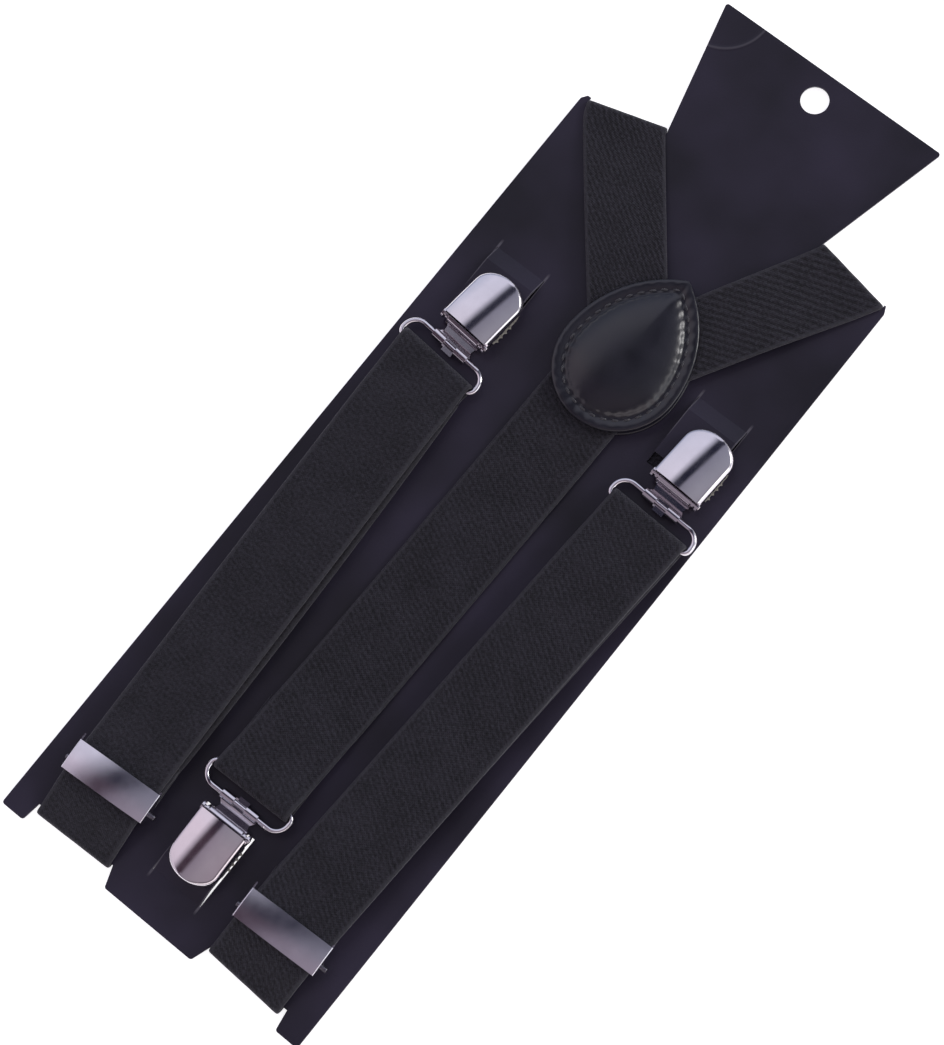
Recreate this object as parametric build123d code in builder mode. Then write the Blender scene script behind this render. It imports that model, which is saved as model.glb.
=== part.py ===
"""Y-back braces of 25 mm elastic webbing, wound round a die-cut hanging display card.

The card lies face up: X across the card, Y up the card towards its hang tab, Z out of its face.
Heights written as "above the face" are measured from the card's printed face. Distances up the card
are measured from its lower edge and moved so that the origin is under the middle of the assembly.
"""

import os
from math import asin, atan2, cos, degrees, hypot, pi, radians, sin, sqrt

from build123d import *

os.makedirs("parts", exist_ok=True)

# ---------------------------------------------------------------- driving dimensions, millimetres
webbing_width = 25.0
webbing_thick = 1.2
half_web = webbing_width / 2

card_width = 104.3
card_length = 296.0
card_thick = 0.7
card_face = webbing_thick + card_thick  # the card lies on the two straps that run down its back
tab_half_top = 37.0
tab_half_neck = 26.65
hang_hole_radius = 4.0
hang_hole_up = 287.8
recess_up = 6.0  # the lower edge is cut back this far where the straps go round it
tongue_width = 16.2
slit_width = 0.2
window_length = 22.8

fold_out = card_thick / 2 + webbing_thick  # outer radius of the webbing round the card's edge
fold_mid = -card_thick / 2  # height of the card's mid-plane above the face

# the clip, in its own frame: across, along towards its tip, and above the face
steel = 0.7
cover_half = 8.0
cover_rear = 0.9
cover_long = 19.3
cover_tip = 6.0
cover_rim = 3.05
cover_crown = 6.8
cover_side = 5.5
cover_arch = 110.0  # radius of the crown's arch along the cover
pivot_along = 0.6
pivot_up = 3.2
pivot_pin_radius = 0.7
pivot_play = 0.06
ear_inside = 5.95
ear_radius = 1.15
curl_inner = 0.81
curl_outer = 1.5
base_under = 0.1
base_thick = 0.6
base_tip = 17.4
pad_top = 1.2
tongue_under = 1.3
jaw_under = 2.1
jaw_thick = 0.6

# the wire bail, pivoted in the curls of the clip's base, with its bar in the strap's fold
wire_radius = 0.75
wire_up = 2.3
bail_top_along = -5.2
bail_bar_along = -11.4
bail_half = 13.55
bar_gap = 0.3  # slack between the bar and the webbing folded round it

# the adjuster that slides on a front strap
slider_half = 13.45
slider_long = 8.8
flange = 0.45
plate_under = 5.6
plate_thick = 0.6
plate_cambers = {"left": 0.85, "right": 0.35}  # rise of the plate's middle above its ends
plate_bow = 45.0  # radius of the plate's arch across its width
axle_radius = 0.75
axle_half = 15.0
axle_along = -1.4
loop_inner = axle_radius + 0.05
loop_outer = loop_inner + webbing_thick
axle_up = loop_outer + 0.05
outer_run_under = 4.25  # the outer layer passes over the sewn loop on the axle

# the padded teardrop yoke
yoke_radius = 18.3
yoke_arc = 34.4
leather = 1.0
yoke_x, yoke_up, yoke_lean = 5.05, 195.0, 0.8
rim_width = 3.9
front_patch_under = leather + 2 * webbing_thick
dome_top = 7.2


def at(x, up, above=0.0):
    """The point that far right of the card's middle, up from its lower edge and above its face."""
    return Vector(x, up - card_length / 2, card_face + above)


def frame_at(x, up, heading):
    """A flat frame on the card's face whose +Y points that many degrees clockwise of up the card."""
    turn = radians(heading)
    return Plane(origin=at(x, up), x_dir=(cos(turn), -sin(turn), 0), z_dir=(0, 0, 1))


def side_of(frame, across=0.0):
    """The frame's side view: x runs along the piece, y is height, and the normal points across."""
    return Plane(origin=frame.origin, x_dir=frame.y_dir, z_dir=frame.x_dir).offset(across)


def in_frame(frame, x, y):
    """Where a point of a flat frame lies, as distances right of the middle and up the card."""
    point = frame.from_local_coords((x, y, 0))
    return point.X, point.Y + card_length / 2


def finish(part, name):
    """Labels one finished piece and writes it."""
    part.label = name
    export_step(part, f"parts/{name}.step")


# the three clips, placed by the hinge end of their covers
clips = {
    "left_clip": frame_at(-34.75, 177.0, 5.2),
    "right_clip": frame_at(38.2, 177.1, 2.6),
    "back_clip": frame_at(0.1, 34.2, 179.1),
}
# the card's tongues, placed by the middle of each window's hinge end
tongues = {
    "left_clip": frame_at(-35.2, 179.4, 0),
    "right_clip": frame_at(35.0, 179.4, 0),
    "back_clip": frame_at(0.0, 35.0, 180),
}


# ------------------------------------------------------------------------------ the display card
def card_outline():
    """Corners of the card, going round from its lower left foot."""
    half = card_width / 2
    return [
        (-half, 0), (-44.7, 0), (-43.8, recess_up), (-17.3, recess_up), (-15.2, 0),
        (15.2, 0), (17.3, recess_up), (43.8, recess_up), (44.7, 0), (half, 0),
        (half, 250.6), (51.2, 252.7), (50.7, 252.7), (50.7, 250.6), (tab_half_neck, 255.1),
        (tab_half_top, card_length), (-tab_half_top, card_length),
        (-tab_half_neck, 255.8), (-49.8, 249.1), (-49.8, 251.5), (-50.9, 251.5), (-half, 249.8),
    ]


def tongue_profile(start, bend, rise):
    """Side view of a tongue: flat in the clip, then a joggle back down to the card."""
    under = tongue_under
    root = window_length + 0.4
    return [
        (start, under), (bend, under), (bend + rise, -card_thick), (root, -card_thick),
        (root, 0), (bend + rise + 0.3, 0), (bend + 0.3, under + card_thick), (start, under + card_thick),
    ]


with BuildPart() as display_card:
    with BuildSketch(Plane.XY.offset(webbing_thick)):
        with BuildLine():
            Polyline(*[(x, up - card_length / 2) for x, up in card_outline()], close=True)
        make_face()
    extrude(amount=card_thick)
    foot_corners = display_card.edges().filter_by(Axis.Z).group_by(Axis.Y)[0]
    fillet(foot_corners, 0.9)
    tab_corners = display_card.edges().filter_by(Axis.Z).group_by(Axis.Y)[-1]
    fillet(tab_corners, 0.8)
    with BuildSketch(Plane.XY.offset(webbing_thick)):
        with Locations((0, hang_hole_up - card_length / 2)):
            Circle(hang_hole_radius)
    extrude(amount=card_thick, mode=Mode.SUBTRACT)
    for frame in tongues.values():
        with BuildSketch(frame.offset(-card_thick)):
            with Locations((0, window_length / 2)):
                Rectangle(tongue_width + 2 * slit_width, window_length)
        extrude(amount=card_thick, mode=Mode.SUBTRACT)
        with BuildSketch(side_of(frame)):
            with BuildLine():
                Polyline(*tongue_profile(3.4, 17.8, 4.6), close=True)
            make_face()
        extrude(amount=tongue_width / 2, both=True)
finish(display_card.part, "display_card")


# --------------------------------------------------------------------------- the padded leather yoke
yoke_frame = frame_at(yoke_x, yoke_up, yoke_lean)


def teardrop(inset, tip_round):
    """The yoke's outline moved in by inset: half a circle below, two arcs above that meet at the tip."""
    low = yoke_radius - inset
    arc = yoke_arc - inset
    centre = yoke_arc - yoke_radius
    tip = sqrt(arc**2 - centre**2)
    half_angle = asin(tip / arc) / 2
    reach = arc * cos(half_angle) - centre
    with BuildSketch() as drop:
        with BuildLine():
            ThreePointArc((-low, 0), (0, -low), (low, 0))
            ThreePointArc((low, 0), (reach, arc * sin(half_angle)), (0, tip))
            ThreePointArc((0, tip), (-reach, arc * sin(half_angle)), (-low, 0))
        make_face()
        fillet(drop.vertices().sort_by(Axis.Y)[-1], tip_round)
    return drop.sketch


patch_outline = teardrop(0, 1.2)
dome_outline = teardrop(rim_width, 3.0)
padding_outline = teardrop(rim_width + 0.9, 2.4)
seam_outline = teardrop(2.9, 1.5)

with BuildPart() as yoke_back_patch:
    with BuildSketch(yoke_frame):
        add(patch_outline)
    extrude(amount=leather)
finish(yoke_back_patch.part, "yoke_back_patch")

with BuildPart() as yoke_padding:
    with BuildSketch(yoke_frame.offset(front_patch_under)):
        add(padding_outline)
    extrude(amount=dome_top - 0.9 - front_patch_under)
    fillet(yoke_padding.faces().sort_by(Axis.Z)[-1].edges(), 1.7)
finish(yoke_padding.part, "yoke_padding")

with BuildPart() as yoke_front_patch:
    with BuildSketch(yoke_frame.offset(front_patch_under)):
        add(dome_outline)
    extrude(amount=dome_top - front_patch_under)
    fillet(yoke_front_patch.faces().sort_by(Axis.Z)[-1].edges(), 2.4)
    with BuildSketch(yoke_frame.offset(front_patch_under)):
        add(patch_outline)
    extrude(amount=leather)
    add(yoke_padding.part, mode=Mode.SUBTRACT)
finish(yoke_front_patch.part, "yoke_front_patch")

stitch_long, stitch_wide, stitch_high, stitch_pitch = 2.2, 0.6, 0.3, 3.4
seam = seam_outline.wires()[0]
seam_count = round(seam.length / stitch_pitch)
with BuildPart() as yoke_stitching:
    with BuildSketch(yoke_frame.offset(front_patch_under + leather)):
        for k in range(seam_count):
            spot = seam @ (k / seam_count)
            way = seam % (k / seam_count)
            with Locations((spot.X, spot.Y)):
                SlotOverall(stitch_long, stitch_wide, rotation=degrees(atan2(way.Y, way.X)))
    extrude(amount=stitch_high)
finish(yoke_stitching.part, "yoke_stitching")


# ------------------------------------------------------------------------------- the front straps
class Strap:
    """Where one front strap runs. Points are (right of the card's middle, up the card)."""

    def __init__(self, clip, foot, fold, diagonal):
        self.clip = clip
        self.fold = fold  # inner and outer end of the fold over the shoulder
        self.diagonal = diagonal  # outline of the run from that fold to the yoke
        bar = in_frame(clip, 0, bail_bar_along)
        self.length = hypot(bar[0] - foot[0], bar[1] - foot[1])
        self.heading = degrees(atan2(bar[0] - foot[0], bar[1] - foot[1]))
        self.foot = foot
        self.run = frame_at(*foot, self.heading)


straps = {
    "left": Strap(
        clips["left_clip"],
        (-30.4, recess_up - 0.4),
        ((-26.9, 255.8), (-49.2, 249.4)),
        [(-26.9, 255.8), (yoke_x - 0.1, 216.4), (yoke_x - 0.1, 199), (-3.4, 192.3), (-12.7, 203.4),
         (-47.4, 244.4), (-49.2, 249.4)],
    ),
    "right": Strap(
        clips["right_clip"],
        (30.0, recess_up - 0.4),
        ((26.9, 255.2), (50.1, 250.9)),
        [(26.9, 255.2), (yoke_x + 0.1, 215.2), (yoke_x + 0.1, 192), (16.5, 192), (26.1, 209.8),
         (50.1, 250.9)],
    ),
}


def band(points):
    """A closed side view of webbing whose lower face passes through the points."""
    return [*points, *[(along, up + webbing_thick) for along, up in reversed(points)]]


def run_profile(strap):
    """Side view of the outer layer, from the lower edge of the card up to the bail's bar."""
    lift = strap.length - 19
    end = strap.length + 4
    near_bar = wire_up + wire_radius + bar_gap
    low = [(0, 0), (13, outer_run_under), (lift, outer_run_under), (lift + 9, near_bar), (end, near_bar)]
    return band(low)


def diagonal_profile():
    """Side view of the run from the shoulder, on the card, up to the layer under the yoke's patch."""
    low = [(-14, 0), (10, 0), (36, leather + webbing_thick), (80, leather + webbing_thick)]
    return band(low)


def front_strap(strap):
    (inner_x, inner_up), (outer_x, outer_up) = strap.fold
    fold_way = Vector(outer_x - inner_x, outer_up - inner_up, 0)
    middle = ((inner_x + outer_x) / 2, (inner_up + outer_up) / 2)
    yoke_way = degrees(atan2(yoke_x - middle[0], 205 - middle[1]))
    diagonal_frame = frame_at(*middle, yoke_way)
    # the half turn over the shoulder bulges up the card, whichever way the fold slopes
    outward = Vector(0, 0, 1).cross(fold_way).normalized()
    outward = outward if outward.Y > 0 else -outward
    shoulder = Plane(origin=at(inner_x, inner_up), x_dir=outward, z_dir=fold_way.normalized())
    shoulder_flip = 1 if shoulder.y_dir.Z > 0 else -1
    bar_side = side_of(strap.clip)
    lower_left = in_frame(strap.run, -half_web, 0)
    lower_right = in_frame(strap.run, half_web, 0)

    with BuildPart() as strap_part:
        # diagonal run on the face, cut to its outline
        with BuildSketch(side_of(diagonal_frame)):
            with BuildLine():
                Polyline(*diagonal_profile(), close=True)
            make_face()
        extrude(amount=webbing_width, both=True)
        with BuildSketch(Plane.XY.offset(card_face)):
            with BuildLine():
                Polyline(*[(x, up - card_length / 2) for x, up in strap.diagonal], close=True)
            make_face()
        extrude(amount=10, mode=Mode.INTERSECT)
        # half turn over the shoulder
        with BuildSketch(shoulder):
            with Locations((0, fold_mid * shoulder_flip)):
                Circle(fold_out)
                Circle(card_thick / 2, mode=Mode.SUBTRACT)
            with Locations((-fold_out, fold_mid * shoulder_flip)):
                Rectangle(2 * fold_out, 2 * fold_out, mode=Mode.SUBTRACT)
        extrude(amount=fold_way.length)
        # straight down the back
        with BuildSketch(Plane.XY):
            with BuildLine():
                Polyline(
                    *[(x, up - card_length / 2) for x, up in (lower_left, lower_right, *sorted(
                        strap.fold, reverse=True))],
                    close=True,
                )
            make_face()
        extrude(amount=webbing_thick)
        # half turn round the lower edge
        with BuildSketch(side_of(strap.run)):
            with Locations((0, fold_mid)):
                Circle(fold_out)
                Circle(card_thick / 2, mode=Mode.SUBTRACT)
            with Locations((fold_out, fold_mid)):
                Rectangle(2 * fold_out, 2 * fold_out, mode=Mode.SUBTRACT)
        extrude(amount=half_web, both=True)
        # outer layer up the face to the bail's bar
        with BuildSketch(side_of(strap.run)) as outer_layer:
            with BuildLine():
                Polyline(*run_profile(strap), close=True)
            make_face()
        run = extrude(amount=half_web, both=True, mode=Mode.PRIVATE)
        bar_line = Plane(origin=strap.clip.from_local_coords((0, bail_bar_along, 0)), z_dir=strap.clip.y_dir)
        add(split(run, bisect_by=bar_line, keep=Keep.BOTTOM, mode=Mode.PRIVATE))
        # half turn round the bar, and the first of the layer that goes back down
        with BuildSketch(bar_side):
            with Locations((bail_bar_along, wire_up)):
                Circle(wire_radius + bar_gap + webbing_thick)
                Circle(wire_radius + bar_gap, mode=Mode.SUBTRACT)
            with Locations((bail_bar_along - 5, wire_up)):
                Rectangle(10, 10, mode=Mode.SUBTRACT)
            with Locations((bail_bar_along - 2, wire_up - wire_radius - bar_gap - webbing_thick / 2)):
                Rectangle(4, webbing_thick)
        extrude(amount=half_web, both=True)
    return strap_part.part


for hand, strap in straps.items():
    finish(front_strap(strap), f"{hand}_front_strap")

# --------------------------------------------------------------------------------- the back strap
back_top = (3.9, 212.0)
back_bar = in_frame(clips["back_clip"], 0, bail_bar_along)
back_length = hypot(back_top[0] - back_bar[0], back_top[1] - back_bar[1])
back_run = frame_at(*back_bar, degrees(atan2(back_top[0] - back_bar[0], back_top[1] - back_bar[1])))
layer_low = wire_up - wire_radius - bar_gap - webbing_thick
back_low = [
    (-3, wire_up + wire_radius + bar_gap), (2, wire_up + wire_radius + bar_gap),
    (10, layer_low + webbing_thick), (24, layer_low + webbing_thick), (30, layer_low),
    (back_length - 47, layer_low), (back_length - 37, leather), (back_length, leather),
]
back_tail = 23.0
with BuildPart() as back_strap:
    with BuildSketch(side_of(back_run)):
        with BuildLine():
            Polyline(*band(back_low), close=True)
        make_face()
    extrude(amount=half_web, both=True)
    split(
        bisect_by=Plane(
            origin=clips["back_clip"].from_local_coords((0, bail_bar_along, 0)),
            z_dir=clips["back_clip"].y_dir,
        ),
        keep=Keep.BOTTOM,
    )
    with BuildSketch(side_of(clips["back_clip"])):
        with Locations((bail_bar_along, wire_up)):
            Circle(wire_radius + bar_gap + webbing_thick)
            Circle(wire_radius + bar_gap, mode=Mode.SUBTRACT)
        with Locations((bail_bar_along - 5, wire_up)):
            Rectangle(10, 10, mode=Mode.SUBTRACT)
        with Locations((bail_bar_along - back_tail / 2, layer_low + webbing_thick / 2)):
            Rectangle(back_tail, webbing_thick)
    extrude(amount=half_web, both=True)
finish(back_strap.part, "back_strap")


# --------------------------------------------------------------------------------- the adjusters
sliders = {
    "left": frame_at(*in_frame(straps["left"].run, 0, 17.4), -3.7),
    "right": frame_at(*in_frame(straps["right"].run, 0, 15.7), -2.3),
}
spikes = {"left": (2.0, 0.9), "right": (2.0, 0.9)}  # how far each flange's point runs past the plate
loop_tail = 14.0
drifts = {"left": (0.3, 0.4), "right": (0.0, 0.0)}  # sideways, of the return layer at its two ends

for hand, frame in sliders.items():
    with BuildPart() as slider_frame:
        camber = plate_cambers[hand]
        arch_centre = plate_under - plate_bow
        half_arc = asin(slider_long / 2 / plate_bow)
        rear = Plane(origin=(0, 0, arch_centre), x_dir=(1, 0, 0), z_dir=(0, -cos(half_arc), -sin(half_arc)))
        with BuildSketch(rear):
            with BuildLine():
                for up, way in ((plate_bow, 1), (plate_bow + plate_thick, -1)):
                    ThreePointArc((-way * slider_half, up), (0, up + camber), (way * slider_half, up))
                    Line((way * slider_half, plate_bow), (way * slider_half, plate_bow + plate_thick))
            make_face()
        revolve(axis=Axis((0, 0, arch_centre), (-1, 0, 0)), revolution_arc=degrees(2 * half_arc))
        ends = slider_frame.faces().sort_by(Axis.X)
        fillet([end.edges().sort_by(Axis.Z)[-1] for end in (ends[0], ends[-1])], 0.4)
        for side, spike in zip((-slider_half, slider_half - flange), spikes[hand]):
            with BuildSketch(Plane.YZ.offset(side)):
                with BuildLine():
                    Polyline(
                        (-slider_long / 2 + 0.1, plate_under), (-slider_long / 2 + 0.1, 4.0),
                        (axle_along - 1.3, axle_up), (axle_along + 1.3, axle_up), (2.6, 4.0),
                        (slider_long / 2 - 0.4, 4.6), (slider_long / 2 + spike, plate_under + 0.1),
                        (slider_long / 2 - 0.1, plate_under + 0.1), (0, plate_under + 0.1), close=True,
                    )
                make_face()
                with Locations((axle_along, axle_up)):
                    Circle(1.35)
                    Circle(axle_radius + 0.02, mode=Mode.SUBTRACT)
            extrude(amount=flange)
    finish(frame.location * slider_frame.part, f"{hand}_slider_frame")

    with BuildPart() as slider_axle:
        with BuildSketch(Plane.YZ.offset(-axle_half)):
            with Locations((axle_along, axle_up)):
                Circle(axle_radius)
        extrude(amount=2 * axle_half)
        fillet(slider_axle.edges(), 0.2)
    finish(frame.location * slider_axle.part, f"{hand}_slider_axle")

    with BuildPart() as end_loop:
        with BuildSketch(Plane.YZ):
            with Locations((axle_along, axle_up)):
                Circle(loop_outer)
                Circle(loop_inner, mode=Mode.SUBTRACT)
            with Locations((axle_along + 3, axle_up)):
                Rectangle(6, 6, mode=Mode.SUBTRACT)
            with BuildLine():
                Polyline(
                    (axle_along, axle_up + loop_inner), (axle_along, axle_up + loop_outer),
                    (axle_along + 8, 2 * webbing_thick + layer_low),
                    (axle_along + loop_tail, 2 * webbing_thick + layer_low),
                    (axle_along + loop_tail, layer_low), (axle_along, layer_low),
                    (axle_along, layer_low + webbing_thick), (axle_along + 7, layer_low + webbing_thick),
                    close=True,
                )
            make_face()
        extrude(amount=half_web, both=True)
    at_bar, at_loop = drifts[hand]
    finish(frame.location * Location((at_loop, 0, 0)) * end_loop.part, f"{hand}_strap_end_loop")

    # the layer that runs back down behind the outer one, from the bail's bar to the sewn loop
    clip = straps[hand].clip
    corners = [
        in_frame(clip, at_bar - half_web, bail_bar_along - 4.05),
        in_frame(clip, at_bar + half_web, bail_bar_along - 4.05),
        in_frame(frame, at_loop + half_web, axle_along + loop_tail + 0.05),
        in_frame(frame, at_loop - half_web, axle_along + loop_tail + 0.05),
    ]
    with BuildPart() as strap_return:
        with BuildSketch(Plane.XY.offset(card_face + layer_low)):
            with BuildLine():
                Polyline(*[(x, up - card_length / 2) for x, up in corners], close=True)
            make_face()
        extrude(amount=webbing_thick)
    finish(strap_return.part, f"{hand}_strap_return")


# ------------------------------------------------------------------------ one clip, in its own frame
def tip_outline(half, start, end, tip):
    """Plan of a clip's piece: straight sides from start, then a rounded tip of that depth."""
    with BuildSketch() as outline:
        with Locations((0, (start + end - tip) / 2)):
            Rectangle(2 * half, end - tip - start)
        with Locations((0, end - tip)):
            Ellipse(half, tip)
    return outline.sketch


neck_outline = [
    (-7.6, 0.8), (-5.2, -1.4), (-5.0, -2.6), (-6.0, -4.0), (-6.0, -8.0),
    (6.0, -8.0), (6.0, -4.0), (5.0, -2.6), (5.2, -1.4), (7.6, 0.8),
]
tab_half = 1.7
with BuildPart() as clip_neck:
    with BuildSketch(Plane.YZ):
        with BuildLine():
            Polyline(
                (1.0, base_under), (-2.4, base_under), (bail_top_along, wire_up - curl_outer),
                (bail_top_along, wire_up - curl_inner), (-2.7, base_under + base_thick),
                (1.0, base_under + base_thick), close=True,
            )
        make_face()
        with Locations((bail_top_along, wire_up)):
            Circle(curl_outer)
            Circle(curl_inner, mode=Mode.SUBTRACT)
        with Locations((bail_top_along + 1.9, wire_up + 0.25)):
            Rectangle(3, 1.3, mode=Mode.SUBTRACT)
    extrude(amount=8, both=True)
    with BuildSketch():
        with BuildLine():
            Polyline(*neck_outline, close=True)
        make_face()
    extrude(amount=6, mode=Mode.INTERSECT)
    with BuildSketch(Plane.XY.offset(wire_up - curl_inner + 0.1)):
        with Locations((0, bail_top_along)):
            Rectangle(2 * tab_half + 0.6, 4)
    extrude(amount=4, mode=Mode.SUBTRACT)
    with BuildSketch(Plane.XY.offset(wire_up - curl_outer)):
        with Locations((0, bail_top_along - curl_outer - 1.8)):
            Rectangle(2 * tab_half + 0.6, 4)
    extrude(amount=4, mode=Mode.SUBTRACT)
    with BuildSketch(Plane.XY.offset(wire_up - curl_outer)):
        with Locations((0, bail_top_along - 1.1)):
            Rectangle(2 * tab_half, 2.2)
    extrude(amount=curl_outer - curl_inner)

with BuildPart() as clip_base:
    with BuildSketch(Plane.XY.offset(base_under)):
        add(tip_outline(7.6, 0.4, base_tip, 5.4))
    extrude(amount=base_thick)
    add(clip_neck.part)
    for side in (-ear_inside - steel, ear_inside):
        with BuildSketch(Plane.YZ.offset(side)):
            with BuildLine():
                Polyline(
                    (-1.6, base_under), (pivot_along - ear_radius, pivot_up),
                    (pivot_along + ear_radius, pivot_up), (2.8, base_under), close=True,
                )
            make_face()
            with Locations((pivot_along, pivot_up)):
                Circle(ear_radius)
                Circle(pivot_pin_radius + 0.02, mode=Mode.SUBTRACT)
        extrude(amount=steel)

with BuildPart() as clip_pad:
    with BuildSketch(Plane.XY.offset(base_under + base_thick)):
        add(tip_outline(7.9, 3.4, base_tip - 0.2, 5.4))
        with GridLocations(15.8, 1.7, 2, 4):
            with Locations((0, 7.2)):
                Rectangle(0.8, 0.8, rotation=45)
    extrude(amount=pad_top - base_under - base_thick)
    with BuildSketch(Plane.XY.offset(pad_top - 0.3)):
        with Locations((0, 9.8)):
            with GridLocations(1, 1.7, 1, 7):
                Rectangle(20, 0.6)
    extrude(amount=1, mode=Mode.SUBTRACT)

barrel_half = ear_inside - 0.4
with BuildPart() as clip_jaw:
    with BuildSketch(Plane.XY.offset(jaw_under)):
        add(tip_outline(6.9, 3.2, 16.8, 4.6))
        with Locations((0, 2.2)):
            Rectangle(2 * barrel_half, 2.4)
        with Locations((0, 6)):
            Rectangle(15.8, 4)
    extrude(amount=jaw_thick)
    with BuildSketch(Plane.YZ):
        with Locations((pivot_along, pivot_up)):
            Circle(1.45)
    extrude(amount=barrel_half, both=True)
    with BuildSketch(Plane.YZ):
        with Locations((pivot_along, pivot_up)):
            Circle(pivot_pin_radius + pivot_play)
    extrude(amount=barrel_half + 1, both=True, mode=Mode.SUBTRACT)


def cover_block(inset, start, rounding):
    """The pressed cover's solid moved in by inset: a vault arched both ways over a rounded plan."""
    half = cover_half - inset
    crown, side = cover_crown - inset, cover_side - inset
    arch_centre = cover_crown - cover_arch
    with BuildPart() as block:
        with BuildSketch(Plane.XY.offset(cover_rim - inset)):
            add(tip_outline(half, start, cover_long - inset, cover_tip - inset / 2))
        extrude(amount=8)
        with BuildPart(mode=Mode.INTERSECT):
            with BuildSketch(Plane.XZ) as profile:
                with BuildLine():
                    Polyline((-half, side), (-half, 0), (half, 0), (half, side))
                    ThreePointArc((-half, side), (0, crown), (half, side))
                make_face()
            for way, turn in ((-1, 14), (1, 3)):
                revolve(profile.sketch, axis=Axis((0, 0, arch_centre), (way, 0, 0)), revolution_arc=turn)
        top = block.faces().sort_by(Axis.Z)[-1]
        rear = top.edges().sort_by(Axis.Y)[0]
        fillet([edge for edge in top.edges() if not edge.is_same(rear)], rounding)
    return block.part


with BuildPart() as clip_lever:
    add(cover_block(0, cover_rear, 1.5))
    add(cover_block(steel, -3, 0.9), mode=Mode.SUBTRACT)
    with BuildSketch():
        with Locations((0, cover_rear + 15)):
            RectangleRounded(2 * cover_half, 30, 1.4)
    extrude(amount=10, mode=Mode.INTERSECT)
    for side in (-cover_half, cover_half - steel):
        with BuildSketch(Plane.YZ.offset(side)):
            with Locations((pivot_along, pivot_up)):
                Circle(1.5)
        extrude(amount=steel)
    with BuildSketch(Plane.YZ):
        with Locations((pivot_along, pivot_up)):
            Circle(pivot_pin_radius + pivot_play)
    extrude(amount=10, both=True, mode=Mode.SUBTRACT)

with BuildPart() as clip_pin:
    with BuildSketch(Plane.YZ.offset(-cover_half - 0.3)):
        with Locations((pivot_along, pivot_up)):
            Circle(pivot_pin_radius)
    extrude(amount=2 * cover_half + 0.6)
    fillet(clip_pin.edges(), 0.2)

corner_at_bar, corner_at_top = 1.7, 4.0
with BuildPart() as bail:
    with BuildLine(Plane.XY.offset(wire_up)) as loop:
        side_split = bail_bar_along + 1.95
        FilletPolyline(
            (0, bail_bar_along), (bail_half, bail_bar_along), (bail_half, side_split), radius=corner_at_bar
        )
        FilletPolyline(
            (bail_half, side_split), (bail_half, bail_top_along), (0, bail_top_along), radius=corner_at_top
        )
        mirror(about=Plane.YZ)
    with BuildSketch(Plane(origin=(0, bail_bar_along, wire_up), z_dir=(1, 0, 0))):
        Circle(wire_radius)
    sweep(path=loop.wires()[0])

clip_pieces = {
    "base": clip_base, "pad": clip_pad, "jaw": clip_jaw, "lever": clip_lever, "pin": clip_pin, "bail": bail,
}
for name, frame in clips.items():
    for piece, built in clip_pieces.items():
        finish(frame.location * built.part, f"{name}_{piece}")
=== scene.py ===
"""Looks of the carded suspenders: webbing, leather yoke, stitching, materials, light and camera."""

from math import atan2, cos, hypot, pi, radians, sin, sqrt

import bpy
import numpy as np
from mathutils import Matrix, Vector, noise

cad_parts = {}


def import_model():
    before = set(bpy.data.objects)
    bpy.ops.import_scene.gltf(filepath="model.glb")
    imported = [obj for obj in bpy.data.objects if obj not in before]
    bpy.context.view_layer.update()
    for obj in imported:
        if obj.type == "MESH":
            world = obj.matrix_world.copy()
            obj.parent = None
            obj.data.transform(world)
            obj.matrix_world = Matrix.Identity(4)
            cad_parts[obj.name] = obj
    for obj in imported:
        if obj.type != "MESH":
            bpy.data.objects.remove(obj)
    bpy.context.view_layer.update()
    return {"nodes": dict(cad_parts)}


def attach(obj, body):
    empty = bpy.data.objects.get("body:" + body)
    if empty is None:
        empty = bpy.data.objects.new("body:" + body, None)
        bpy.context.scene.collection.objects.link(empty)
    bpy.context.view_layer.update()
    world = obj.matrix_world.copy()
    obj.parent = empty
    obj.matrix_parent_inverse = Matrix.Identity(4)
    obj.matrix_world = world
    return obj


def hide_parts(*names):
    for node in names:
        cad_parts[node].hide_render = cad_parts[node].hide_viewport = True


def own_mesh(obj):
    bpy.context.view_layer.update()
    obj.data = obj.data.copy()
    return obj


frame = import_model()

# Lengths are millimetres right of the card's middle, up from its lower edge and above its face,
# until they are turned into metres round the middle of the card.
MM = 0.001
CARD_LENGTH = 296.0
CARD_THICK = 0.7
WEBBING = 1.2  # thickness
MID = WEBBING / 2
HALF_WEB = 12.5
FACE = WEBBING + CARD_THICK  # the card's face above the floor
ROOT = "carded_straps"


# ---------------------------------------------------------------------------------- small helpers
class Flat:
    """A flat frame on the card's face: +y points heading degrees clockwise of up the card."""

    def __init__(self, x, up, heading):
        turn = radians(heading)
        self.at = np.array([x, up])
        self.across = np.array([cos(turn), -sin(turn)])
        self.along = np.array([sin(turn), cos(turn)])

    def __call__(self, x, y):
        return self.at + self.across * x + self.along * y


CLIPS = {
    "left": Flat(-34.75, 177.0, 5.2),
    "right": Flat(38.2, 177.1, 2.6),
    "back": Flat(0.1, 34.2, 179.1),
}
TONGUES = [Flat(-35.2, 179.4, 0), Flat(35.0, 179.4, 0), Flat(0.0, 35.0, 180)]
YOKE = Flat(5.05, 195.0, 0.8)

BAR_ALONG = -11.4  # the bail's bar, in a clip's frame
BAR_UP = 2.3
BAR_TURN = 1.65  # radius of the webbing's mid-layer round the bar
UNDER_BAR = BAR_UP - BAR_TURN
OVER_BAR = BAR_UP + BAR_TURN
TAIL = 4.0  # webbing behind the bar, before the next layer starts
AXLE_ALONG = -1.4  # the adjuster's axle, in its plate's frame
AXLE_UP = 2.05
AXLE_TURN = 0.8 + MID  # radius of the webbing's mid-layer round the axle
LOOP_LONG = 14.0  # the sewn loop, from the axle to its end
GAP = 0.05  # between one length of webbing and the next


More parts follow.
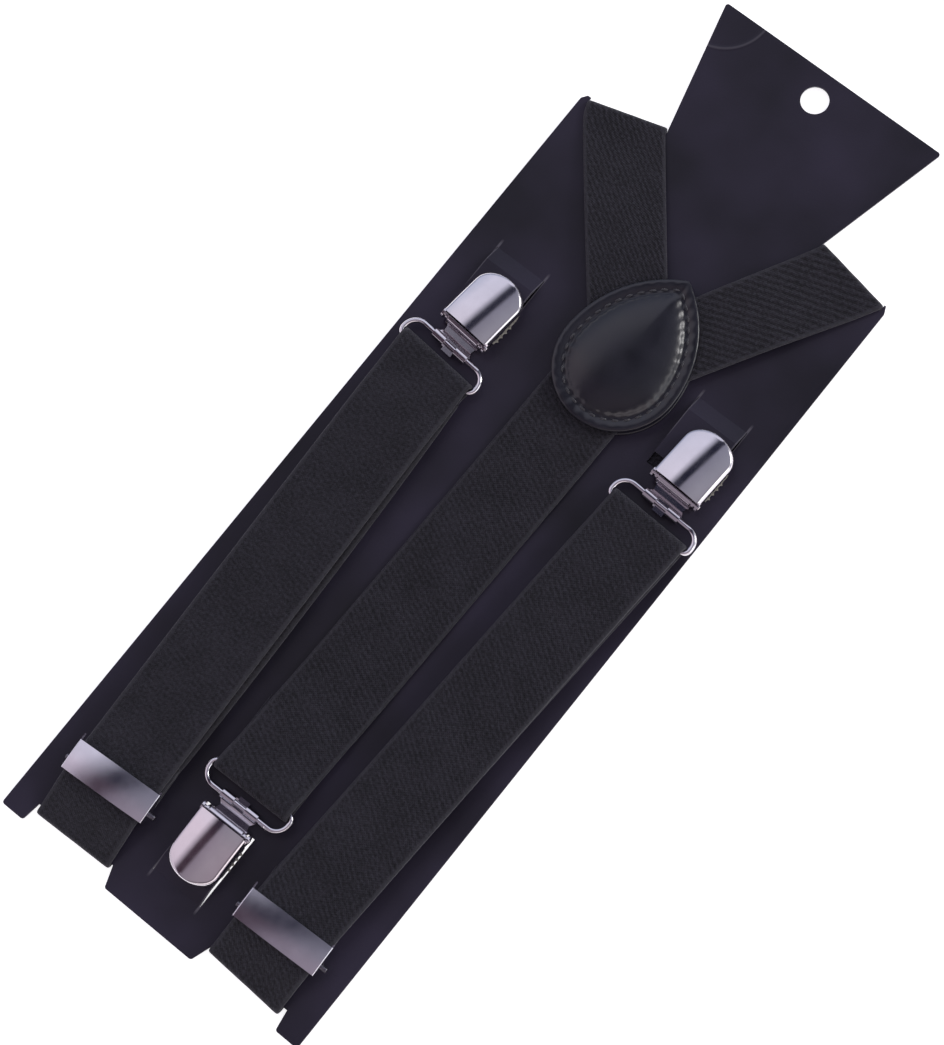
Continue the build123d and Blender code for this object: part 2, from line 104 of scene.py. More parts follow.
def world(point, above):
    """A point on the card, at a height above its face, in metres."""
    return (point[0] * MM, (point[1] - CARD_LENGTH / 2) * MM, (FACE + above) * MM)


def smoothstep(a, b, x):
    t = np.clip((x - a) / (b - a), 0, 1)
    return t * t * (3 - 2 * t)


def distances(line):
    """How far along a polyline each of its points is."""
    gaps = np.linalg.norm(np.diff(line, axis=0), axis=1)
    return np.concatenate([[0], np.cumsum(gaps)])


def spaced(line, count):
    """Evenly spaced points along a polyline of any dimension."""
    line = np.array(line, float)
    reach = distances(line)
    spots = np.linspace(0, reach[-1], count)
    return np.stack([np.interp(spots, reach, column) for column in line.T], axis=1)


def rounded(line, passes=2):
    """A polyline with its corners cut, ends kept."""
    line = np.array(line, float)
    for _ in range(passes):
        low = line[:-1] * 0.75 + line[1:] * 0.25
        high = line[:-1] * 0.25 + line[1:] * 0.75
        inner = np.empty((2 * len(low), line.shape[1]))
        inner[0::2], inner[1::2] = low, high
        line = np.concatenate([line[:1], inner[1:-1], line[-1:]])
    return line


def new_object(name, verts, faces):
    """A smooth-shaded object in the scene."""
    mesh = bpy.data.meshes.new(name)
    mesh.from_pydata([tuple(v) for v in verts], [], faces)
    mesh.update()
    obj = bpy.data.objects.new(name, mesh)
    bpy.context.scene.collection.objects.link(obj)
    mesh.polygons.foreach_set("use_smooth", [True] * len(mesh.polygons))
    return obj


# -------------------------------------------------------------------------------------- materials
class Nodes:
    """A node tree, with short ways to add and join nodes."""

    def __init__(self, tree):
        self.tree = tree

    def add(self, kind, inputs=None, **settings):
        node = self.tree.nodes.new(kind)
        for key, value in settings.items():
            setattr(node, key, value)
        for key, value in (inputs or {}).items():
            if isinstance(value, bpy.types.NodeSocket):
                self.tree.links.new(value, node.inputs[key])
            else:
                node.inputs[key].default_value = value
        return node

    def math(self, operation, *values):
        return self.add("ShaderNodeMath", dict(enumerate(values)), operation=operation).outputs[0]

    def weigh(self, *pairs):
        """The sum of values times their weights."""
        total = None
        for value, weight in pairs:
            part = self.math("MULTIPLY", value, weight)
            total = part if total is None else self.math("ADD", total, part)
        return total

    def vector_math(self, operation, *values):
        node = self.add("ShaderNodeVectorMath", dict(enumerate(values)), operation=operation)
        return node.outputs["Value" if operation in ("DOT_PRODUCT", "LENGTH") else 0]

    def noise(self, vector, scale, detail=3.0, roughness=0.5):
        inputs = {"Vector": vector, "Scale": scale, "Detail": detail, "Roughness": roughness}
        return self.add("ShaderNodeTexNoise", inputs).outputs["Fac"]

    def remap(self, value, low, high, to_low, to_high):
        inputs = {"Value": value, 1: low, 2: high, 3: to_low, 4: to_high}
        return self.add("ShaderNodeMapRange", inputs).outputs[0]

    def mix(self, factor, first, second, **settings):
        inputs = {"Factor": factor, 6: first, 7: second}
        return self.add("ShaderNodeMix", inputs, data_type="RGBA", **settings).outputs[2]


class Shader(Nodes):
    """A material with a Principled shader, some of its sockets set to fixed values."""

    def __init__(self, name, **sockets):
        self.material = bpy.data.materials.new(name)
        self.material.use_nodes = True
        super().__init__(self.material.node_tree)
        self.bsdf = self.tree.nodes["Principled BSDF"]
        for key, value in sockets.items():
            self.bsdf.inputs[key.replace("_", " ")].default_value = value

    def place(self):
        """Where a point is on the object, in metres."""
        return self.add("ShaderNodeTexCoord").outputs["Object"]

    def bump(self, height, distance, strength=1.0):
        inputs = {"Height": height, "Distance": distance, "Strength": strength}
        self.set("Normal", self.add("ShaderNodeBump", inputs).outputs[0])

    def set(self, key, socket):
        self.tree.links.new(socket, self.bsdf.inputs[key])


def rgb(red, green, blue):
    return (red, green, blue, 1.0)


UV_UNIT = 100  # millimetres of webbing to one unit of its UV map
SELVEDGE = (0.112, 0.118)  # the woven edge's start, from the webbing's middle in UV units
KNIT = (0.85, 0.75)  # one cell of the knit, millimetres across and along


def webbing_material(name, tilt, pitch, ribbed):
    """Ribbed elastic: rubber ribs under a fine knit, smoother along both woven edges.

    tilt weighs the distances across and along the webbing in the direction that crosses the ribs,
    pitch is the ribs' spacing in millimetres, and ribbed is how clearly they show."""
    s = Shader(name, Roughness=0.8, Sheen_Weight=0.25, Sheen_Roughness=0.5,
               Specular_IOR_Level=0.3, Sheen_Tint=rgb(0.60, 0.61, 0.66))

    def wave(distance, period):
        return s.math("SINE", s.math("MULTIPLY", distance, 2 * pi * UV_UNIT / period))

    uv = s.add("ShaderNodeUVMap", uv_map="weave").outputs[0]
    across, along, _ = s.add("ShaderNodeSeparateXYZ", {0: uv}).outputs
    wobble = s.math("MULTIPLY", s.math("SUBTRACT", s.noise(uv, 70), 0.5), 0.012)
    slant = s.math("ADD", s.weigh((across, tilt[0]), (along, tilt[1])), wobble)
    patchy = s.remap(s.noise(uv, 140, 3, 0.6), 0.35, 0.65, 0.15 * ribbed, ribbed)
    rib = s.math("MULTIPLY", wave(slant, pitch), patchy)
    cell = s.math("MULTIPLY", wave(across, KNIT[0]), wave(along, KNIT[1]))
    grain = s.noise(uv, 110, 5, 0.75)
    cloud = s.noise(uv, 9)
    selvedge = s.remap(s.math("ABSOLUTE", across), *SELVEDGE, 0.0, 1.0)
    body = s.math("SUBTRACT", 1.0, selvedge)
    height = s.math("MULTIPLY", s.weigh((rib, 0.4), (cell, 0.3)), body)
    s.bump(s.math("ADD", height, s.math("MULTIPLY", grain, 1.8)), 0.0002, 0.9)
    shade = s.remap(s.weigh((rib, 0.11), (grain, 1.1), (cloud, 0.25)), 0.53, 0.86, 0.0, 1.0)
    colour = s.mix(shade, rgb(0.0045, 0.0042, 0.0065), rgb(0.033, 0.0315, 0.0425))
    colour = s.mix(s.math("MULTIPLY", selvedge, 0.55), colour, rgb(0.046, 0.045, 0.054))
    s.set("Base Color", colour)
    return s.material


def card_material():
    """Black coated card with patches of painted violet sheen, and pale grey lines at its cut edges,
    beside the slits and along a crease.
    """
    half_tongue = 8.2
    crease_middle, crease_radius = (-37.0, 296.0), 13.5
    steep = 0.25  # a face's upward share below which it is a cut edge
    s = Shader("coated_card", Specular_IOR_Level=0.42)
    spot = s.place()
    cloud = s.noise(spot, 22)
    fibre = s.noise(spot, 1400, 4, 0.6)
    # Painted sheen: large soft patches of the colour are lighter violet, standing in for the
    # coating's broad gloss.
    painted_sheen = s.remap(cloud, 0.35, 0.65, 0.0, 1.0)
    colour = s.mix(painted_sheen, rgb(0.0072, 0.0058, 0.0135), rgb(0.0265, 0.0212, 0.044))
    normal = s.add("ShaderNodeNewGeometry").outputs["True Normal"]
    face = s.math("ABSOLUTE", s.add("ShaderNodeSeparateXYZ", {0: normal}).outputs[2])

    def offset_from(x, up):
        """Millimetres across and up from a point on the card."""
        offset = s.vector_math("SUBTRACT", spot, (x * MM, (up - CARD_LENGTH / 2) * MM, 0.0))
        return s.vector_math("MULTIPLY", offset, (1 / MM, 1 / MM, 0.0))

    def measured(offset, way):
        return s.vector_math("DOT_PRODUCT", offset, (float(way[0]), float(way[1]), 0.0))

    marks = s.math("LESS_THAN", face, steep)
    for tongue in TONGUES:
        offset = offset_from(*tongue.at)
        side = s.math("ABSOLUTE", measured(offset, tongue.across))
        slit = s.math("ABSOLUTE", s.math("SUBTRACT", side, half_tongue))
        far = measured(offset, tongue.along)
        line = s.remap(slit, 0.22, 0.42, 1.0, 0.0)
        line = s.math("MULTIPLY", line, s.remap(far, 8.0, 12.0, 0.0, 1.0))
        line = s.math("MULTIPLY", line, s.remap(far, 24.0, 25.5, 1.0, 0.0))
        marks = s.math("MAXIMUM", marks, line)
    corner = s.vector_math("LENGTH", offset_from(*crease_middle))
    bend = s.math("ABSOLUTE", s.math("SUBTRACT", corner, crease_radius))
    marks = s.math("MAXIMUM", marks, s.remap(bend, 0.1, 0.5, 0.55, 0.0))
    s.set("Base Color", s.mix(s.math("MULTIPLY", marks, 0.85), colour, rgb(0.11, 0.105, 0.125)))
    uneven = s.math("ADD", cloud, s.math("MULTIPLY", fibre, 0.3))
    s.set("Roughness", s.remap(uneven, 0.3, 1.0, 0.36, 0.62))
    s.bump(s.math("ADD", fibre, s.remap(bend, 0.0, 0.9, 4.0, 0.0)), 0.00006, 0.5)
    return s.material


def leather_material():
    """Glossy black leather with a fine pebbled grain."""
    s = Shader("glossy_leather", Coat_Weight=0.4, Coat_Roughness=0.12)
    spot = s.place()
    cells = s.add("ShaderNodeTexVoronoi", {"Vector": spot, "Scale": 1500.0}).outputs["Distance"]
    soft = s.noise(spot, 130)
    s.set("Base Color", s.mix(soft, rgb(0.002, 0.002, 0.005), rgb(0.007, 0.0066, 0.017)))
    s.set("Roughness", s.remap(soft, 0.3, 0.7, 0.28, 0.42))
    s.bump(s.weigh((cells, 0.5), (soft, 2.0)), 0.00005, 0.4)
    return s.material


def thread_material():
    """Twisted black thread."""
    s = Shader("thread", Roughness=0.4, Sheen_Weight=0.3)
    twist = s.noise(s.place(), 2600, 2)
    s.set("Base Color", s.mix(twist, rgb(0.012, 0.012, 0.016), rgb(0.06, 0.06, 0.07)))
    s.bump(twist, 0.0001)
    return s.material


def nickel_material(name, tint, roughness):
    """Nickel plate, a little uneven in its colour and its polish."""
    s = Shader(name, Metallic=1.0)
    spot = s.place()
    cloud = s.noise(spot, 160, 4)
    marks = s.noise(spot, 420, 2)
    s.set("Base Color", s.mix(cloud, rgb(*tint), rgb(*(c * 0.82 for c in tint))))
    uneven = s.math("ADD", cloud, s.math("MULTIPLY", marks, 0.4))
    s.set("Roughness", s.remap(uneven, 0.4, 1.1, roughness - 0.04, roughness + 0.05))
    return s.material


def pad_material():
    """Off-white moulded plastic."""
    s = Shader("clip_pad", Roughness=0.4)
    cloud = s.noise(s.place(), 300, 2)
    s.set("Base Color", s.mix(cloud, rgb(0.36, 0.35, 0.31), rgb(0.48, 0.47, 0.42)))
    return s.material


# The ribs' direction differs from run to run, because the webbing is stretched and turned.
WEB_LEFT = webbing_material("webbing_left", (0.39, 0.92), 1.5, 0.45)
WEB_RIGHT = webbing_material("webbing_right", (0.39, 0.92), 1.5, 0.8)
WEB_BACK = webbing_material("webbing_back", (-0.41, 0.91), 1.5, 0.8)
WEB_LEFT_DIAGONAL = webbing_material("webbing_left_diagonal", (0.934, 0.358), 1.4, 1.3)
WEB_RIGHT_DIAGONAL = webbing_material("webbing_right_diagonal", (-0.707, 0.707), 2.0, 1.6)
CARD = card_material()
LEATHER = leather_material()
THREAD = thread_material()
NICKEL = nickel_material("nickel", (0.82, 0.78, 0.82), 0.11)
PLATE = nickel_material("slider_nickel", (0.76, 0.75, 0.82), 0.16)
WIRE = nickel_material("nickel_wire", (0.84, 0.81, 0.86), 0.1)
AXLE = nickel_material("axle_steel", (0.22, 0.21, 0.24), 0.3)
PAD = pad_material()


def wear(obj, material):
    """Gives an object one material."""
    obj.data.materials.clear()
    obj.data.materials.append(material)
    return obj


# ---------------------------------------------------------------------------------------- webbing
# Points across a band of webbing from edge to edge, -1 to 1, and its share of the full thickness
# at each of them: close together and thinner at the woven edges.
EDGE_SIDE = np.array([0.91, 0.955, 0.985, 1.0])
EDGE_THICK = np.array([1.0, 0.95, 0.78, 0.45])
BODY_COLUMNS = 28
SIDE = np.concatenate([-EDGE_SIDE[::-1], np.linspace(-0.84, 0.84, BODY_COLUMNS), EDGE_SIDE])
THICK = np.concatenate([EDGE_THICK[::-1], np.ones(BODY_COLUMNS), EDGE_THICK])
RING_FACES = 2 * len(SIDE)
RIPPLE = 0.05  # height of the soft unevenness in the outer face
SURFACE = 0.98  # the outer and inner faces' share of the full thickness


def ribbon(name, left, right, material, lag=0.0, seed=0.0):
    """A closed band of webbing between two edge lines, with soft woven edges.

    lag is how much further along the webbing the right edge starts than the left one."""
    left, right = np.array(left, float), np.array(right, float)
    count = len(left)
    forward = np.gradient((left + right) / 2, axis=0)
    normal = np.cross(right - left, forward)
    normal /= np.linalg.norm(normal, axis=1, keepdims=True)
    travelled = (distances(left), distances(right) + lag)
    half = WEBBING / 2 * THICK * SURFACE
    rings = []
    for k in range(count):
        core = left[k] + np.outer((SIDE + 1) / 2, right[k] - left[k])
        ripple = RIPPLE * np.array([
            noise.noise(Vector((s * 3.0, travelled[0][k] * 0.06, seed))) for s in SIDE
        ])
        top = core + np.outer(half + ripple, normal[k])
        bottom = core - np.outer(half, normal[k])
        rings.append(np.concatenate([top, bottom[::-1]]))
    verts = (np.concatenate(rings) + (0, -CARD_LENGTH / 2, FACE)) * MM
    whole = np.concatenate([SIDE, SIDE[::-1]])

    def weave(row, column):
        """Where a point is on the webbing when it is laid flat, in UV units."""
        share = (whole[column] + 1) / 2
        run = travelled[0][row] * (1 - share) + travelled[1][row] * share
        return (whole[column] * HALF_WEB / UV_UNIT, run / UV_UNIT)

    faces, coords = [], []
    for k in range(count - 1):
        for c in range(RING_FACES):
            d = (c + 1) % RING_FACES
            corners = ((k, c), (k, d), (k + 1, d), (k + 1, c))
            faces.append(tuple(row * RING_FACES + column for row, column in corners))
            coords += [weave(*corner) for corner in corners]
    around = range(RING_FACES)
    for row, run, columns in ((0, 0, around), (count - 1, travelled[0][-1], around[::-1])):
        faces.append(tuple(row * RING_FACES + c for c in columns))
        coords += [(whole[c] * HALF_WEB / UV_UNIT, run / UV_UNIT) for c in columns]
    obj = new_object(name, verts, faces)
    layer = obj.data.uv_layers.new(name="weave")
    layer.data.foreach_set("uv", np.array(coords, float).ravel())
    return wear(obj, material)


def run_between(starts, ends, heights, step=1.2):
    """Left and right edge lines from starts to ends, with heights as (share of the way, height)."""
    profile_step = 0.004
    reach = distances(np.array(heights, float))[-1]
    profile = spaced(heights, max(2, int(round(reach / profile_step)) + 1))
    length = hypot(*(np.array(starts[0]) - np.array(ends[0])))
    spots = np.linspace(0, 1, max(3, int(length / step)))
    up = np.interp(spots, profile[:, 0], profile[:, 1])
    rails = []
    for start, end in zip(starts, ends):
        start, end = np.array(start, float), np.array(end, float)
        rails.append(np.column_stack([start + np.outer(spots, end - start), up]))
    return rails


def level(height):
    """A height that stays the same from one end of a run to the other."""
    return [(0, height), (1, height)]


def half_turn(edges, middle_up, radius, outward, from_top):
    """Edge lines of a half turn about the line through both edges, bulging outward."""
    steps = 10
    rails = []
    for edge in edges:
        points = []
        for k in range(1, steps):
            angle = pi * k / steps
            lift = cos(angle) if from_top else -cos(angle)
            flat = np.array(edge) + outward * radius * sin(angle)
            points.append((flat[0], flat[1], middle_up + radius * lift))
        rails.append(np.array(points))
    return rails


def join(*pieces):
    """Edge-line pairs end to end."""
    return [np.concatenate([piece[k] for piece in pieces]) for k in range(2)]


def edge_pair(flat, along, half=HALF_WEB, drift=0.0):
    """The webbing's two edges at a distance along a flat frame."""
    return (flat(drift - half, along), flat(drift + half, along))


def aimed(start, end):
    """A flat frame at start whose +y points at end, and the distance between them."""
    way = np.array(end) - np.array(start)
    return Flat(*start, np.degrees(atan2(*way))), hypot(*way)


def lay_sheet(obj, replaced):
    """Attaches a folded strap that stays on the card to the straps' body, and hides the part it
    takes the place of.
    """
    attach(obj, ROOT)
    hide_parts(replaced)


# foot            middle of the fold round the card's lower edge
# axle, slide     how far the adjuster is from there, and how far it slides
# drift           how far the layer behind lies to the right, at the bar and at the sewn loop
# peek            how much further it strays between them
# clear           room left past that layer when the adjuster is at the end of its slide
# lag, seed       see ribbon
# fold            inner and outer end of the fold over the shoulder
# inner, outer    edges of the diagonal run, from under the yoke to the fold
STRAPS = {
    "left": {
        "foot": (-30.4, 5.6), "axle": 17.4, "slide": 118.237, "slider_heading": -3.7,
        "drift": (0.3, 0.4), "peek": 0.9, "clear": 0.6, "lag": 12.7, "seed": 3.7,
        "webbing": WEB_LEFT, "diagonal_webbing": WEB_LEFT_DIAGONAL,
        "fold": ((-26.9, 255.8), (-49.5, 249.3)),
        "inner": [(3.6, 218.2), (-26.0, 254.4), (-26.9, 255.8)],
        "outer": [(-5.0, 194.5), (-12.7, 203.4), (-46.3, 243.4), (-48.5, 246.6), (-49.5, 249.3)],
    },
    "right": {
        "foot": (30.0, 5.6), "axle": 15.7, "slide": 120.096, "slider_heading": -2.3,
        "drift": (0.0, 0.0), "peek": 0.0, "clear": 1.3, "lag": -16.8, "seed": 9.1,
        "webbing": WEB_RIGHT, "diagonal_webbing": WEB_RIGHT_DIAGONAL,
        "fold": ((26.9, 255.2), (50.45, 250.85)),
        "inner": [(5.6, 216.0), (25.9, 253.2), (26.9, 255.2)],
        "outer": [(15.5, 191.5), (26.1, 209.8), (49.4, 248.7), (50.45, 250.85)],
    },
}
DIAGONAL_POINTS = 60
DIAGONAL_TURN = 3  # steps of the turn over the shoulder that show the diagonal run's ribs


def outward_of(fold):
    """Up the card, square to a fold over its shoulder."""
    (ax, ay), (bx, by) = fold
    way = np.array([-(by - ay), bx - ax]) / hypot(bx - ax, by - ay)
    return way if way[1] > 0 else -way


def front_strap(hand):
    """One front strap: yoke, shoulder, down the back, round the foot, up the front, round the bar.

    Returns the flat frame of its run up the front."""
    facts, clip = STRAPS[hand], CLIPS[hand]
    fold = facts["fold"]
    run, length = aimed(facts["foot"], clip(0, BAR_ALONG))
    diagonal = []
    for line, end in zip((facts["inner"], facts["outer"]), fold):
        line = spaced(rounded(line), DIAGONAL_POINTS)
        # it rises from the fold to lie between the yoke's patches
        reach = np.linalg.norm(line - np.array(end), axis=1)
        up = np.interp(reach, [0, 8, 30, 100], [0, 0.1, 1.9, 2.2])
        diagonal.append(np.column_stack([line, up + MID]))
    # each pair is the inner edge and then the outer one, all the way along
    outer = -HALF_WEB if hand == "left" else HALF_WEB
    feet = edge_pair(run, 0, outer)
    bar_edges = edge_pair(clip, BAR_ALONG, outer)
    tail_edges = edge_pair(clip, BAR_ALONG - TAIL, outer)
    card_middle, card_turn = -CARD_THICK / 2, CARD_THICK / 2 + MID
    shoulder = half_turn(fold, card_middle, card_turn, outward_of(fold), True)
    back = run_between(fold, feet, level(-CARD_THICK - MID), 2.0)
    bottom = half_turn(feet, card_middle, card_turn, -run.along, False)
    slide_end = length - 19  # of the adjuster, with room over it all the way
    over_adjuster = 4.25
    # (distance from the foot, height)
    low = [(0, 0), (2.5, 0.75), (11.5, 3.9), (15, over_adjuster), (slide_end - 3, over_adjuster),
           (slide_end + 3, 4.0), (slide_end + 8, 3.4), (length, OVER_BAR - MID)]
    profile = rounded([(a / length, h + MID) for a, h in low])
    up_front = run_between(feet, bar_edges, profile, 1.0)
    round_bar = half_turn(bar_edges, BAR_UP, BAR_TURN, clip.along, True)
    tail = run_between(bar_edges, tail_edges, level(UNDER_BAR), 1.0)
    rails = join(diagonal, shoulder, back, bottom, up_front, round_bar, tail)
    if hand == "left":
        rails = rails[::-1]
    strap = ribbon(f"{hand}_front_webbing", *rails, facts["webbing"], facts["lag"], facts["seed"])
    strap.data.materials.append(facts["diagonal_webbing"])
    for face in strap.data.polygons[:RING_FACES * (DIAGONAL_POINTS + DIAGONAL_TURN)]:
        face.material_index = 1
    lay_sheet(strap, f"{hand}_front_strap")
    return run


def return_layer(hand, run):
    """The layer behind the outer one, from the adjuster's sewn loop to the bar, built at one
    length.
    """
    facts, clip = STRAPS[hand], CLIPS[hand]
    slider = Flat(*run(0, facts["axle"]), facts["slider_heading"])
    at_bar, at_loop = facts["drift"]
    far_along = BAR_ALONG - (TAIL + GAP)
    starts = edge_pair(clip, far_along, drift=at_bar)
    ends = edge_pair(slider, AXLE_ALONG + (LOOP_LONG + GAP), drift=at_loop)
    rails = run_between(ends, starts, level(UNDER_BAR), 1.5)
    for rail in rails:
        sway = facts["peek"] * np.sin(np.linspace(0, pi, len(rail))) ** 0.7
        rail[:, :2] += np.outer(sway, run.across)
    layer = ribbon(f"{hand}_return_webbing", *rails, facts["webbing"], seed=5.0)
    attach(layer, ROOT)
    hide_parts(f"{hand}_strap_return")
    anchor = world(clip(0, far_along), UNDER_BAR)
    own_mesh(layer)


def end_loop(hand, run):
    """The end of that layer, folded round the adjuster's axle and sewn."""
    facts = STRAPS[hand]
    slider = Flat(*run(0, facts["axle"]), facts["slider_heading"])
    drift = facts["drift"][1]
    edges = edge_pair(slider, AXLE_ALONG, drift=drift)
    tail = edge_pair(slider, AXLE_ALONG + LOOP_LONG, drift=drift)
    lower = run_between(tail, edges, level(UNDER_BAR), 1.0)
    turn = half_turn(edges, AXLE_UP, AXLE_TURN, -slider.along, False)
    meets = 8.0  # where the upper layer comes down to the lower one
    doubled = UNDER_BAR + WEBBING
    over = rounded([(0, AXLE_UP + AXLE_TURN), (meets / LOOP_LONG, doubled), (1, doubled)])
    upper = run_between(edges, tail, over, 1.0)
    loop = ribbon(f"{hand}_end_loop_webbing", *join(lower, turn, upper), facts["webbing"], seed=6.0)
    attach(loop, f"{hand}_slider_body")
    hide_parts(f"{hand}_strap_end_loop")


def back_strap():
    """The single strap from under the yoke down to the back clip's bar, and folded back."""
    clip = CLIPS["back"]
    run, length = aimed(clip(0, BAR_ALONG), (3.9, 210.5))
    over_bar, over_fold, on_card, under_yoke = OVER_BAR - MID, 1.25, 0.05, 1.0
    # (distance from the bar, height)
    low = [(0, over_bar), (2, over_bar), (10, over_fold), (23, over_fold), (31, on_card),
           (length - 45, on_card), (length - 35, under_yoke), (length, under_yoke)]
    profile = rounded([(a / length, h + MID) for a, h in low])
    # the clip's frame points down the card, so its right is the strap's left
    bar_edges = edge_pair(clip, BAR_ALONG, -HALF_WEB)
    tail_edges = edge_pair(clip, BAR_ALONG - 22.5, -HALF_WEB)
    down = [rail[::-1] for rail in run_between(bar_edges, edge_pair(run, length), profile)]
    turn = half_turn(bar_edges, BAR_UP, BAR_TURN, clip.along, True)
    tail = run_between(bar_edges, tail_edges, level(UNDER_BAR))
    rails = join(down, turn, tail)
    strap = ribbon("back_webbing", *rails, WEB_BACK, seed=1.3)
    lay_sheet(strap, "back_strap")


for hand in STRAPS:
    front_run = front_strap(hand)
    return_layer(hand, front_run)
    end_loop(hand, front_run)
back_strap()


# ------------------------------------------------------------------------------------------- yoke
YOKE_RADIUS, YOKE_ARC = 18.3, 34.4  # the low half's radius, and that of the two sides above it
PATCH_TOP = 1.0  # the back patch's thickness
RIM_UNDER = PATCH_TOP + 2 * WEBBING
RIM_TOP = RIM_UNDER + 1.0
DOME_TOP = 7.2
SEAM_INSET, STITCH_INSET, DOME_INSET = 3.2, 3.05, 4.0
STITCH_PITCH, STITCH_LONG, STITCH_WIDE, STITCH_HIGH = 3.2, 2.0, 0.6, 0.28
RING = 396  # points round each ring of the yoke's patches


def teardrop(inset, angle):
    """Distance from the yoke's middle to its outline moved in by inset, at each angle."""
    low, arc, centre = YOKE_RADIUS - inset, YOKE_ARC - inset, YOKE_ARC - YOKE_RADIUS
    run = np.abs(np.cos(angle))
    above = np.sqrt(centre**2 * run**2 - centre**2 + arc**2) - centre * run
    return np.where(np.sin(angle) > 0, above, low)


def smooth_ring(values, passes):
    for _ in range(passes):
        values = (np.roll(values, 1) + values * 2 + np.roll(values, -1)) / 4
    return values


# angles evenly spaced along the seam, and the leather's pucker at each of them: none at the
# middle of a stitch, and full where the thread goes in between two of them
ROUND = np.linspace(0, 2 * pi, 4001)
SEAM_REACH = teardrop(SEAM_INSET, ROUND)
SEAM_RUN = distances(np.column_stack([SEAM_REACH * np.cos(ROUND), SEAM_REACH * np.sin(ROUND)]))
ANGLES = np.interp(np.linspace(0, SEAM_RUN[-1], RING, endpoint=False), SEAM_RUN, ROUND)
STITCHES = int(round(SEAM_RUN[-1] / STITCH_PITCH))
PUCKER = 0.5 + 0.5 * np.cos(2 * pi * np.linspace(0, STITCHES, RING, endpoint=False))


def yoke_point(reach, angle, above):
    return world(YOKE(reach * cos(angle), reach * sin(angle)), above)


def yoke_patch(name, rings, top, under):
    """A closed leather patch through rings of (reach, height), from its top's middle round its
    edge to its underside's middle."""
    verts = []
    for reach, height in rings:
        height = np.broadcast_to(height, reach.shape)
        verts += [yoke_point(r, a, h) for r, a, h in zip(reach, ANGLES, height)]
    verts += [yoke_point(0, 0, top), yoke_point(0, 0, under)]
    faces = []
    last = (len(rings) - 1) * RING
    for start in range(0, last, RING):
        for c in range(RING):
            d = (c + 1) % RING
            faces.append((start + RING + c, start + RING + d, start + d, start + c))
    for c in range(RING):
        d = (c + 1) % RING
        faces.append((c, d, len(verts) - 2))
        faces.append((last + d, last + c, len(verts) - 1))
    patch = wear(new_object(name, verts, faces), LEATHER)
    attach(patch, ROOT)
    return patch


def yoke_front():
    """The front patch: a padded dome, drawn in where the thread goes in, and a soft-edged rim."""
    outer = smooth_ring(teardrop(0.0, ANGLES), 5)
    seam = smooth_ring(teardrop(SEAM_INSET, ANGLES), 9)
    dome = smooth_ring(teardrop(DOME_INSET, ANGLES), 14)
    round_dome = smooth_ring(dome, 1200)
    dome_foot = RIM_TOP - 0.25
    under = RIM_UNDER + 0.02
    rings = []
    for share in np.linspace(0.04, 1, 26):
        swell = (1 - share**2.6) ** 0.62
        height = dome_foot + (DOME_TOP - dome_foot) * swell
        pull = smoothstep(0.85, 1.0, share) * PUCKER
        reach = round_dome + (dome - round_dome) * smoothstep(0.35, 0.97, share)
        rings.append((reach * share - 0.1 * pull, height - 0.08 * pull))
    for share, drop in ((0.35, 0.28), (0.75, 0.22), (1.0, 0.3)):
        rings.append((dome + (seam - dome) * share, RIM_TOP - drop - 0.1 * PUCKER))
    for share, lift in ((0.2, -0.12), (0.45, 0.06), (0.7, 0.1), (0.86, 0.03), (0.95, -0.12)):
        rings.append((seam + (outer - seam) * share, RIM_TOP + lift + 0.05 * (0.5 - PUCKER)))
    rings += [(outer - 0.06, RIM_TOP - 0.32), (outer, RIM_TOP - 0.55),
              (outer - 0.05, RIM_UNDER + 0.15), (outer - 0.3, under), (outer * 0.5, under)]
    patch = yoke_patch("yoke_front_leather", rings, DOME_TOP, under)
    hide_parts("yoke_front_patch", "yoke_padding")


def yoke_back():
    """The back patch, a flat piece of the same leather with a softened edge."""
    outer = smooth_ring(teardrop(0.0, ANGLES), 5)
    under = 0.03
    rings = [(outer * 0.5, PATCH_TOP), (outer - 0.4, PATCH_TOP), (outer - 0.12, 0.92),
             (outer, 0.7), (outer, 0.3), (outer - 0.12, 0.1), (outer - 0.4, under),
             (outer * 0.5, under)]
    patch = yoke_patch("yoke_back_leather", rings, PATCH_TOP, under)
    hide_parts("yoke_back_patch")


def stitch_spots():
    """Each stitch's middle and its direction along the seam."""
    spots = []
    for k in range(STITCHES):
        run = (k + 0.5) / STITCHES * SEAM_RUN[-1]
        pair = []
        for along in (run, run + 0.4):
            angle = np.interp(along, SEAM_RUN, ROUND)
            reach = float(teardrop(STITCH_INSET, angle))
            pair.append(YOKE(reach * cos(angle), reach * sin(angle)))
        way = pair[1] - pair[0]
        spots.append((pair[0], way / np.linalg.norm(way)))
    return spots


def yoke_seam():
    """The seam's stitches, each a flattened capsule whose ends dip into the leather."""
    above = RIM_TOP - 0.12
    verts, faces = [], []
    rows, segments = 7, 8
    for point, way in stitch_spots():
        side = np.array([-way[1], way[0]])
        start = len(verts)
        for t in (-1 + 2 * r / (rows - 1) for r in range(rows)):
            swell = sqrt(max(0.0, 1 - abs(t) ** 3.2)) * 0.92 + 0.08
            for q in range(segments):
                turn = 2 * pi * q / segments
                flat = point + way * t * STITCH_LONG / 2
                flat = flat + side * cos(turn) * STITCH_WIDE / 2 * swell
                lift = sin(turn) * STITCH_HIGH * swell - 0.5 * STITCH_HIGH * t**2
                verts.append(world(flat, above + lift))
        for r in range(rows - 1):
            for q in range(segments):
                p = (q + 1) % segments
                a, b = start + r * segments, start + (r + 1) * segments
                faces.append((a + q, a + p, b + p, b + q))
        faces.append(tuple(start + q for q in reversed(range(segments))))
        faces.append(tuple(start + (rows - 1) * segments + q for q in range(segments)))
    obj = wear(new_object("yoke_seam", verts, faces), THREAD)
    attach(obj, ROOT)
    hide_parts("yoke_stitching")


yoke_front()
yoke_back()
yoke_seam()


